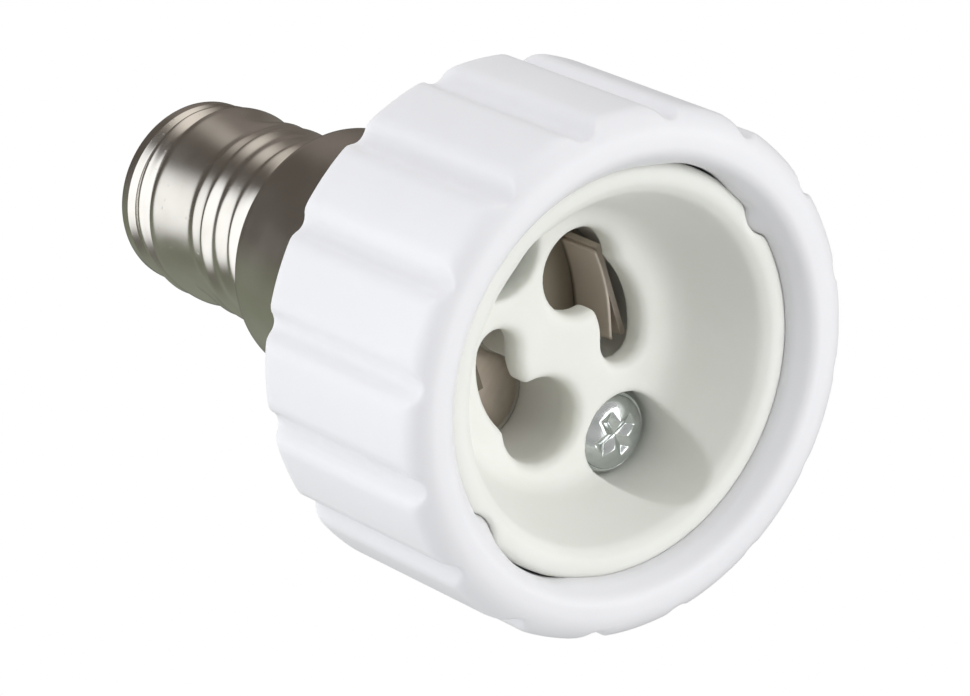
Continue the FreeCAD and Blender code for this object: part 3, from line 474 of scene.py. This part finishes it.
# %% Screw shell
pitch = 2.822
crest, root = 6.88, 6.15
first_crest = 47.5
table_level = np.arange(30.0, 52.0, 0.02)
even = root + (crest - root) * np.abs(np.cos(math.pi * (table_level - first_crest) / pitch))
uneven_bends = np.array([
    # height, radius
    (34.4, 6.20), (36.0, 6.75), (36.2, 6.74), (36.7, 6.13), (36.95, 6.17), (37.95, 6.50), (38.25, 6.48),
    (39.15, 6.83), (39.35, 6.83), (39.97, 6.06), (40.25, 6.08), (41.15, 6.33), (41.45, 6.07), (41.65, 6.06),
    (45.0, 6.87), (45.4, 6.86), (46.15, 6.12), (46.45, 6.17), (47.05, 6.60), (47.25, 6.58), (47.65, 6.35),
    (48.4, 6.20),
])
uneven = np.interp(table_level, uneven_bends[:, 0], uneven_bends[:, 1])
bell = np.exp(-(np.arange(-25, 26) * 0.02 / 0.12) ** 2 / 2)
even = np.convolve(even, bell / bell.sum(), mode="same")
uneven = np.convolve(uneven, bell / bell.sum(), mode="same")
print("even section from", round(float(even.min()), 2), "to", round(float(even.max()), 2), "mm")

# %% [markdown]
# The shell's outline is again a profile: the collar, the step in to the thread, the bead at the end and
# the turned-in lip, and back along the inside. The thread replaces the straight run between step and
# bead. Its rows are close together, and rows that are straight and plain are thinned out.

# %% Shell surface
shell_corners = [
    # radius, height, rounding
    (8.65, 22.4, 0.05),
    (8.65, 32.8, 0.9),
    (6.15, 32.8, 0.35),
    (6.15, 48.0, 0.2),
    (6.45, 48.45, 0.2),
    (6.45, 49.6, 0.6),
    (5.1, 49.6, 0.1),
    (5.1, 49.3, 0.1),
    (5.85, 49.3, 0.05),
    (5.85, 32.5, 0.1),
    (8.35, 32.5, 0.6),
    (8.35, 22.4, 0.05),
]
line = rounded_profile(shell_corners, 0.075, 9)
plain = (line[:, 0] < 6.0) | (line[:, 0] > 8.3)
bent = (np.abs(line[:, 1] - 32.5) <= 1.2) | (line[:, 1] >= 49.0)
line = line[~plain | bent | (np.arange(len(line)) % 8 == 0)]
columns = 192
angles = np.arange(columns) * 2 * math.pi / columns
height = np.repeat(line[:, 1:], len(angles), axis=1)
radius = np.repeat(line[:, :1], len(angles), axis=1)
tube, thread_start, thread_end = 6.15, 33.2, 48.0
threaded = (radius > 6.0) & (radius < 6.5) & (height > thread_start) & (height < thread_end)
degrees = (np.degrees(angles) + 180) % 360 - 180
level = height - pitch * degrees / 360
facing = ease(degrees, -100, -60) * (1 - ease(degrees, 55, 100))
thread = np.interp(level, table_level, even)
thread = thread + (np.interp(level, table_level, uneven) - thread) * facing
grown = ease(height, thread_start, 35.6) * (1 - ease(height, 47.4, thread_end))
radius = np.where(threaded, tube + (thread - tube) * grown, radius)
shell_points = turned(radius, height, angles)
grid_piece("threaded_shell", shell_points, shell_nickel, "screw_shell")

# %% [markdown]
# ## The fixing screws
# Two zinc-plated pan heads hold the cup. A head is a shallow dome with a cross pressed into it, and the
# walls of the cross slope. The screw is a turned surface with a pole at each end, and the cross is a
# depth that is taken off the dome wherever a point lies inside either arm.

# %% Fixing screws
head_top, dome_rise, dome_span = 8.32, 1.3, 2.7
arm_half, arm_narrowing, arm_reach = 0.46, 0.08, 1.4
cross_depth, cross_start, cross_stop = 0.45, -0.34, 0.5


def screw_points(center_radius, center_angle, twist):
    """A pan-head screw as rows from the middle of the head to the tip, in mm.

    The dome is an ellipse: top + rise*(1 - sqrt(1 - (r/span)^2)). Inside an arm of the cross, at a
    distance d from its nearest side, depth*ease(d) is added, which gives it sloping walls."""
    angles = np.arange(144) * 2 * math.pi / 144
    head = np.linspace(0.03, 2.45, 80)
    dome = head_top + dome_rise * (1 - np.sqrt(1 - (head / dome_span) ** 2))
    side = np.array([[2.5, 9.3], [2.54, 9.34], [2.6, 9.27], [2.68, 9.27], [2.74, 9.34], [2.75, 9.45],
                     [2.75, 10.2], [2.7, 10.3], [1.5, 10.3], [1.45, 10.4]])
    step = np.linspace(10.5, 17.6, 60)
    core = 1.33 + 0.12 * np.cos(2 * math.pi * step / 0.7)
    tip = np.array([[1.0, 18.0], [0.5, 18.4], [0.1, 18.45]])
    profile = np.vstack([np.column_stack([head, dome]), side, np.column_stack([core, step]), tip])
    radius = np.repeat(profile[:, :1], len(angles), axis=1)
    height = np.repeat(profile[:, 1:], len(angles), axis=1)
    x, y = radius * np.cos(angles), radius * np.sin(angles)
    first_arm = np.minimum(arm_half - arm_narrowing * np.abs(x) - np.abs(y), arm_reach - np.abs(x))
    second_arm = np.minimum(arm_half - arm_narrowing * np.abs(y) - np.abs(x), arm_reach - np.abs(y))
    inside = np.maximum(first_arm, second_arm)
    pressed = cross_depth * ease(inside, cross_start, cross_stop)
    height = np.where(radius < 1.9, height + pressed, height)
    turn = math.radians(twist)
    spun_x = x * math.cos(turn) - y * math.sin(turn)
    spun_y = x * math.sin(turn) + y * math.cos(turn)
    place = math.radians(center_angle)
    center = np.array([center_radius * math.cos(place), center_radius * math.sin(place), 0.0])
    return np.stack([spun_x, spun_y, height], axis=-1) + center


near_points = screw_points(8.85, 205.4, 30.0)
far_points = screw_points(8.85, 25.4, 75.0)
grid_piece("near_screw", near_points, screw_zinc, "insert_screws", poles=True)
grid_piece("far_screw", far_points, screw_zinc, None, poles=True)

# %% [markdown]
# ## Springs and plates behind the keyholes
# Through each keyhole a thin spring leaf is seen edge on. It lies along the clip's riser at one end and
# bends away from it at the other, so that it can grip the lamp's pin. Its edge is round, and it is a
# section carried along a smoothed line. The other spring is the same, half a turn round.

# %% Springs


def half_turn(points):
    """The same points on the other side of the axis."""
    return points * np.array([-1.0, -1.0, 1.0])


leaf_path = np.array([
    (-1.55, 6.55), (-2.6, 5.72), (-3.6, 4.75), (-4.35, 3.85), (-5.05, 2.85), (-5.8, 1.75),
])
share = np.linspace(0, len(leaf_path) - 1, 31)
leaf_x = np.interp(share, np.arange(len(leaf_path)), leaf_path[:, 0])
leaf_y = np.interp(share, np.arange(len(leaf_path)), leaf_path[:, 1])
for _ in range(6):
    leaf_x[1:-1] = 0.25 * leaf_x[:-2] + 0.5 * leaf_x[1:-1] + 0.25 * leaf_x[2:]
    leaf_y[1:-1] = 0.25 * leaf_y[:-2] + 0.5 * leaf_y[1:-1] + 0.25 * leaf_y[2:]
along = np.stack([np.gradient(leaf_x), np.gradient(leaf_y)], axis=-1)
along /= np.linalg.norm(along, axis=1)[:, None]
bend = np.linspace(0, math.pi, 9)
leaf_half, leaf_edge, leaf_top, leaf_bottom = 0.13, 10.35, 10.6, 13.9
section = np.vstack([
    np.column_stack([leaf_half * np.cos(bend), leaf_edge - leaf_half * np.sin(bend)]),
    np.column_stack([np.full(8, -leaf_half), np.linspace(leaf_top, leaf_bottom, 8)]),
    np.column_stack([np.full(8, leaf_half), np.linspace(leaf_bottom, leaf_top, 8)]),
])
leaf_points = np.stack([
    leaf_x[:, None] - along[:, 1:] * section[:, 0],
    leaf_y[:, None] + along[:, :1] * section[:, 0],
    np.broadcast_to(section[:, 1], (len(leaf_x), len(section))),
], axis=-1)
grid_piece("upper_spring", leaf_points, contact_strip, None, poles=True)
grid_piece("lower_spring", half_turn(leaf_points), contact_strip, None, poles=True)

# %% [markdown]
# ## Plates behind the keyholes
# A brown plate covers the bottom of each chamber. Its outline is a bent slot, an arc of the pins' circle
# made 5.7 mm wide with a round cap at both ends, and it is a thin closed pad: rings of that outline that
# shrink towards the middle above and below.

# %% Plates


def around(angle):
    """Points of the unit circle, one per angle."""
    return np.stack([np.cos(angle), np.sin(angle)], axis=-1)


pin_circle, slot_half = 5.0, 2.85
slot_start, slot_stop = math.radians(79.0), math.radians(156.5)
sweep = np.linspace(slot_start, slot_stop, 24)
cap = np.linspace(0, math.pi, 13)[1:-1]
rim = np.vstack([
    (pin_circle + slot_half) * around(sweep),
    pin_circle * around(slot_stop) + slot_half * around(slot_stop + cap),
    (pin_circle - slot_half) * around(sweep[::-1]),
    pin_circle * around(slot_start) + slot_half * around(slot_start + math.pi + cap),
])
middle = rim.mean(axis=0)
plate_face, plate_back = 14.3, 14.38
rings = []
for level, shares in ((plate_face, (0.05, 0.5, 1.0)), (plate_back, (1.0, 0.5, 0.05))):
    for share in shares:
        flat = middle + (rim - middle) * share
        rings.append(np.column_stack([flat, np.full(len(flat), level)]))
plate_points = np.array(rings)
grid_piece("upper_plate", plate_points, contact_plate, None, poles=True)
grid_piece("lower_plate", half_turn(plate_points), contact_plate, None, poles=True)

# %% [markdown]
# ## The ceramic cup
# Pressed and fired ceramic has no sharp edge anywhere. The solid has the right faces with small
# chamfers, so a copy of it is merged, rebuilt on a fine even grid and relaxed a little. That turns each
# chamfer and each inner corner into the soft round that firing leaves.

# %% Soft ceramic
source = nodes["ceramic_insert"]
soft = bpy.data.objects.new("soft_ceramic", source.data.copy())
bpy.context.collection.objects.link(soft)
weld = soft.modifiers.new("merge", "WELD")
weld.merge_threshold = 0.000001
rebuild = soft.modifiers.new("rebuild", "REMESH")
rebuild.mode = "VOXEL"
rebuild.voxel_size = 0.00021
rebuild.use_smooth_shade = True
relax = soft.modifiers.new("relax", "SMOOTH")
relax.factor = 0.5
relax.iterations = 11
evaluated = soft.evaluated_get(bpy.context.evaluated_depsgraph_get())
mesh = bpy.data.meshes.new_from_object(evaluated)
soft.modifiers.clear()
soft.data = mesh
mesh.name = "soft_ceramic"
mesh.materials.clear()
mesh.materials.append(ceramic_cream)
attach(soft, "root")
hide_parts("ceramic_insert")
print("soft ceramic", len(mesh.polygons), "faces")

# %% [markdown]
# ## Stage and light
# The photographer's camera looks up at the socket, so it stands below the plane on which the adapter
# rests. The floor is therefore shown only to a camera above it, and only to camera rays: its shader is
# mixed with a clear one by Is Camera Ray times 1 - Backfacing.

# %% Floor
floor_mesh = bpy.data.meshes.new("floor")
edge = 1.5
floor_corners = [(-edge, -edge, 0), (edge, -edge, 0), (edge, edge, 0), (-edge, edge, 0)]
floor_mesh.from_pydata(floor_corners, [], [(0, 1, 2, 3)])
floor = bpy.data.objects.new("floor", floor_mesh)
floor.location.z = -0.00005
bpy.context.collection.objects.link(floor)
floor_white, tree, shader = new_finish("floor_white", (0.86, 0.86, 0.86), 0.8)
path = tree.nodes.new("ShaderNodeLightPath")
side = tree.nodes.new("ShaderNodeNewGeometry")
front = tree.nodes.new("ShaderNodeMath")
front.operation = "SUBTRACT"
front.inputs[0].default_value = 1.0
tree.links.new(side.outputs["Backfacing"], front.inputs[1])
seen = tree.nodes.new("ShaderNodeMath")
seen.operation = "MULTIPLY"
tree.links.new(path.outputs["Is Camera Ray"], seen.inputs[0])
tree.links.new(front.outputs[0], seen.inputs[1])
clear = tree.nodes.new("ShaderNodeBsdfTransparent")
mix = tree.nodes.new("ShaderNodeMixShader")
tree.links.new(seen.outputs[0], mix.inputs["Fac"])
tree.links.new(clear.outputs[0], mix.inputs[1])
tree.links.new(shader.outputs[0], mix.inputs[2])
tree.links.new(mix.outputs[0], tree.nodes["Material Output"].inputs["Surface"])
floor_mesh.materials.append(floor_white)
print("floor ready")

# %% [markdown]
# ## The world
# To the camera, and to reflections and clear things, the world is plain white. To all else it is a
# softer grey at half strength, so that the large lamps give the plastic its slow shading.

# %% World
room_strength = 0.5
world = bpy.data.worlds.new("studio")
bpy.context.scene.world = world
world.use_nodes = True
tree = world.node_tree
back = tree.nodes["Background"]
back.inputs["Color"].default_value = (0.985, 0.99, 1.0, 1.0)
back.inputs["Strength"].default_value = room_strength
white = tree.nodes.new("ShaderNodeBackground")
white.inputs["Color"].default_value = (1.0, 1.0, 1.0, 1.0)
path = tree.nodes.new("ShaderNodeLightPath")
seen = path.outputs["Is Camera Ray"]
for ray in ("Is Transmission Ray", "Is Glossy Ray"):
    either = tree.nodes.new("ShaderNodeMath")
    either.operation = "MAXIMUM"
    tree.links.new(seen, either.inputs[0])
    tree.links.new(path.outputs[ray], either.inputs[1])
    seen = either.outputs[0]
mix = tree.nodes.new("ShaderNodeMixShader")
tree.links.new(seen, mix.inputs["Fac"])
tree.links.new(back.outputs[0], mix.inputs[1])
tree.links.new(white.outputs[0], mix.inputs[2])
tree.links.new(mix.outputs[0], tree.nodes["World Output"].inputs["Surface"])
print("world ready")

# %% [markdown]
# ## Flags for the metal
# Polished metal shows only what stands round it. A photographer puts dark and tinted cards, called
# flags, round a shiny thing and leaves windows between them. Here the flags are one large sphere that
# reflections alone can see: it casts no shadow and dims no other light. Its colour and its cover are
# worked out at each point from a few soft patches, each at an azimuth and a height in degrees.

# %% Flags
flag_rows, flag_columns = 91, 180
rise_angles = np.linspace(-90, 90, flag_rows)[:, None]
turn_angles = (np.arange(flag_columns) * 360 / flag_columns - 180)[None, :]
flag_patches = [
    # azimuth, height, half width, half height, colour, edge
    (-78, 50, 42, 30, (0.24, 0.26, 0.20), 2),
    (-120, 10, 34, 60, (0.31, 0.34, 0.28), 2),
    (98, 50, 26, 25, (0.24, 0.215, 0.195), 2),
    (150, 5, 34, 45, (0.25, 0.235, 0.215), 2),
    (72, 0, 21, 32, (1.1, 1.05, 0.98), 2),
    (5, -38, 30, 16, (0.09, 0.09, 0.095), 2),
    (-23, 2, 46, 36, (1.6, 1.65, 1.7), 6),
]


def patch_weight(azimuth, rise, half_width, half_height, edge):
    """1 inside an ellipse of directions and 0 outside: exp(-(distance^2)^edge), soft for a small edge."""
    across = ((turn_angles - azimuth + 180) % 360 - 180) / half_width
    upward = (rise_angles - rise) / half_height
    return np.exp(-(across ** 2 + upward ** 2) ** edge)


cover = 0.55 + 0.45 * ease(rise_angles + 0 * turn_angles, -24, -12)
tint = np.ones((flag_rows, flag_columns, 3)) * (0.125, 0.112, 0.10)
for azimuth, rise, half_width, half_height, color, edge in flag_patches:
    weight = patch_weight(azimuth, rise, half_width, half_height, edge)
    cover = cover + (1 - cover) * weight
    tint = tint + (np.array(color) - tint) * weight[..., None]
flag_radius = 0.9
level = np.cos(np.radians(rise_angles))
flag_points = flag_radius * np.stack([
    level * np.cos(np.radians(turn_angles)),
    level * np.sin(np.radians(turn_angles)),
    np.sin(np.radians(rise_angles)) * np.ones_like(turn_angles),
], axis=-1)
i, j = np.meshgrid(np.arange(flag_rows - 1), np.arange(flag_columns), indexing="ij")
j2 = (j + 1) % flag_columns
flag_faces = np.stack([i * flag_columns + j, i * flag_columns + j2,
                       (i + 1) * flag_columns + j2, (i + 1) * flag_columns + j], axis=-1).reshape(-1, 4)
flag_mesh = bpy.data.meshes.new("flags")
flag_mesh.from_pydata(flag_points.reshape(-1, 3).tolist(), [], flag_faces.tolist())
shade = flag_mesh.color_attributes.new("flag_shade", "FLOAT_COLOR", "POINT")
shade.data.foreach_set("color", np.concatenate([tint, cover[..., None]], axis=-1).ravel())
flag_dark = bpy.data.materials.new("flag_dark")
flag_dark.use_nodes = True
tree = flag_dark.node_tree
glow = tree.nodes.new("ShaderNodeEmission")
painted = tree.nodes.new("ShaderNodeVertexColor")
painted.layer_name = "flag_shade"
clear = tree.nodes.new("ShaderNodeBsdfTransparent")
mix = tree.nodes.new("ShaderNodeMixShader")
tree.links.new(painted.outputs["Color"], glow.inputs["Color"])
tree.links.new(painted.outputs["Alpha"], mix.inputs["Fac"])
tree.links.new(clear.outputs[0], mix.inputs[1])
tree.links.new(glow.outputs[0], mix.inputs[2])
tree.links.new(mix.outputs[0], tree.nodes["Material Output"].inputs["Surface"])
flag_mesh.materials.append(flag_dark)
flags = bpy.data.objects.new("flags", flag_mesh)
bpy.context.collection.objects.link(flags)
flags.visible_camera = False
flags.visible_diffuse = False
flags.visible_shadow = False
flags.visible_transmission = False
covered = float((cover * level).sum() / level.sum() / flag_columns)
print("flags", len(flag_faces), "faces, covering", round(covered, 2))

# %% [markdown]
# ## Camera
# Both ends have standard sizes, so the photo could be solved for its camera: a long lens a third of a
# metre away, below the ring and rolled on its side. The numbers below are that solution. The camera's
# three axes are built from them and set as the columns of its matrix.

# %% Camera
focal_px, photo_width, film_width = 5452.93, 970.0, 36.0
distance = 0.35179
target = np.array([0.0, 0.0, 0.012])
tilt = math.radians(41.2416)
roll = math.radians(-66.6811)
pan, rise = -0.0069, -0.0032
outward = np.array([math.sin(tilt), 0.0, -math.cos(tilt)])
forward = -outward
up = np.array([0.0, 0.0, 1.0])
up = up - forward * up.dot(forward)
up /= np.linalg.norm(up)
right = np.cross(forward, up)
right_rolled = math.cos(roll) * right + math.sin(roll) * up
up_rolled = -math.sin(roll) * right + math.cos(roll) * up
x_axis = math.cos(pan) * right_rolled - math.sin(pan) * forward
ahead = math.sin(pan) * right_rolled + math.cos(pan) * forward
y_axis = math.cos(rise) * up_rolled - math.sin(rise) * ahead
view = math.sin(rise) * up_rolled + math.cos(rise) * ahead
place = target + distance * outward

camera_data = bpy.data.cameras.new("camera")
camera_data.sensor_fit = "HORIZONTAL"
camera_data.sensor_width = film_width
camera_data.lens = film_width * focal_px / photo_width
camera_data.clip_start = 0.01
camera = bpy.data.objects.new("camera", camera_data)
bpy.context.collection.objects.link(camera)
columns = np.column_stack([x_axis, y_axis, -view])
camera.matrix_world = Matrix([[*columns[i], place[i]] for i in range(3)] + [[0, 0, 0, 1]])
bpy.context.scene.camera = camera
print("camera at mm", [round(1000 * v, 1) for v in place], "lens", round(camera_data.lens, 1))

# %% [markdown]
# ## Lamps
# The shading in the photo tells where its light came from. The far wall of the cup is in shade all
# round an azimuth of about 150 degrees, so the main lamp shines into the cup from there, and the head
# of the screw mirrors it. A smaller lamp softens the shade at the top of the cup. The ring's side is
# evenly bright, so two broad soft boxes light it from behind the plane of its front. A weak lamp behind
# the object lights the views from above. Reflections show only the main lamp, because the flags hold
# their windows.

# %% Lamps


def direction(azimuth, rise):
    """The unit vector towards an azimuth and a height in degrees."""
    turn, lift = math.radians(azimuth), math.radians(rise)
    return np.array([math.cos(turn) * math.cos(lift), math.sin(turn) * math.cos(lift), math.sin(lift)])


def aim(item, azimuth, rise, away):
    """Puts an object at a distance in metres from the target, with its -Z axis towards it."""
    spot = target + away * direction(azimuth, rise)
    item.location = Vector(spot)
    item.rotation_euler = (Vector(target) - Vector(spot)).to_track_quat("-Z", "Y").to_euler()
    bpy.context.collection.objects.link(item)


def lamp(name, azimuth, rise, away, size, power, color=(1.0, 1.0, 1.0), seen=False):
    """A square lamp of so many metres and watts; reflections show it only if it is to be seen."""
    data = bpy.data.lights.new(name, "AREA")
    data.size = size
    data.energy = power
    data.color = color
    item = bpy.data.objects.new(name, data)
    aim(item, azimuth, rise, away)
    item.visible_glossy = seen


# name, azimuth, height, distance, size, power
lamp("key_lamp", 154.0, -58.0, 0.6, 0.42, 1.6, seen=True)
lamp("cup_lamp", 70.0, -52.0, 0.6, 0.3, 0.95)
lamp("left_lamp", -58.0, 22.0, 0.65, 0.5, 2.35, (0.97, 0.985, 1.0))
lamp("top_lamp", 22.0, 24.0, 0.65, 0.5, 2.0, (0.98, 0.985, 1.0))
lamp("rear_lamp", 120.0, 70.0, 0.75, 0.4, 0.6)
print("lamps set")

# %% [markdown]
# ## View
# The Standard view keeps each colour as it is written. The finer surfaces have to stay inside the
# solids' box.

# %% View settings
bpy.context.scene.view_settings.view_transform = "Standard"
